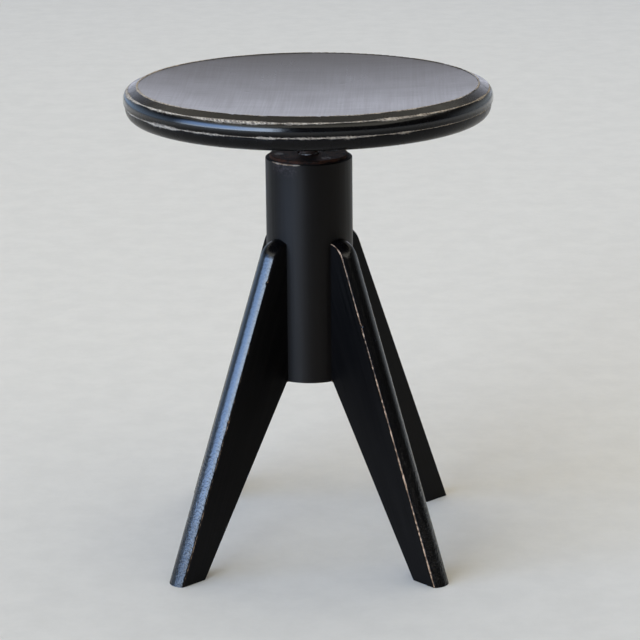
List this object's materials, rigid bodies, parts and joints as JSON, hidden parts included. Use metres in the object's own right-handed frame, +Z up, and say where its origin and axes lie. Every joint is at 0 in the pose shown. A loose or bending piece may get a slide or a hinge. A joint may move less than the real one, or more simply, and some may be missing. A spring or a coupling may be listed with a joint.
{
  "type": "adjustable stool",
  "caption": "Round dished seat on a steel height screw in a cylindrical post, with tapered plank legs; turning the seat raises or lowers it.",
  "frame": {"origin": "on the floor, at the column's axis, under the middle of the seat", "axes": "+Z up along the column's axis; the front is -Y; the legs stand at 45, 132, 226 and 314 degrees from +X"},
  "size_m": [0.35, 0.35, 0.4572],
  "materials": {
    "seat_lacquer": "worn satin black lacquer with pale worn arrises",
    "column_lacquer": "satin black lacquer",
    "leg_lacquer": "satin black lacquer, worn to the wood along the arrises",
    "dowel_wood": "bare beech",
    "rusted_plate": "brown rusted steel",
    "screw_steel": "old slotted steel, rusty in the slots",
    "spindle_steel": "dark greased steel with a little rust",
    "flange_steel": "black painted steel, rusty at the edge"
  },
  "bodies": {
    "base": {"column": "column_lacquer", "leg_front_left": "leg_lacquer", "leg_front_right": "leg_lacquer", "leg_back_left": "leg_lacquer", "leg_back_right": "leg_lacquer", "dowel_front_left_lower": "dowel_wood", "dowel_front_left_upper": "dowel_wood", "dowel_front_right_lower": "dowel_wood", "dowel_front_right_upper": "dowel_wood", "dowel_back_left_lower": "dowel_wood", "dowel_back_left_upper": "dowel_wood", "dowel_back_right_lower": "dowel_wood", "dowel_back_right_upper": "dowel_wood", "top_plate": "rusted_plate", "top_plate_screws": "screw_steel", "thread_bush": "spindle_steel"},
    "stop_ring": {"stop_washer": "spindle_steel"},
    "seat_unit": {"seat": "seat_lacquer", "seat_flange": "flange_steel", "seat_flange_screws": "screw_steel", "spindle": "spindle_steel", "stop_pin": "spindle_steel"}
  },
  "joints": [
    {"name": "seat_height", "type": "slide", "parent": "base", "child": "stop_ring", "axis": [0, 0, 1], "range_m": [-0.025, 0.11]},
    {"name": "seat_turn", "type": "hinge", "parent": "stop_ring", "child": "seat_unit", "pos_m": [0, 0, 0.426], "axis": [0, 0, 1], "range_deg": [-1800, 7920]}
  ],
  "couplings": [
    {"joint": "seat_turn", "follows": "seat_height", "rad_per_m": 1256.6}
  ]
}
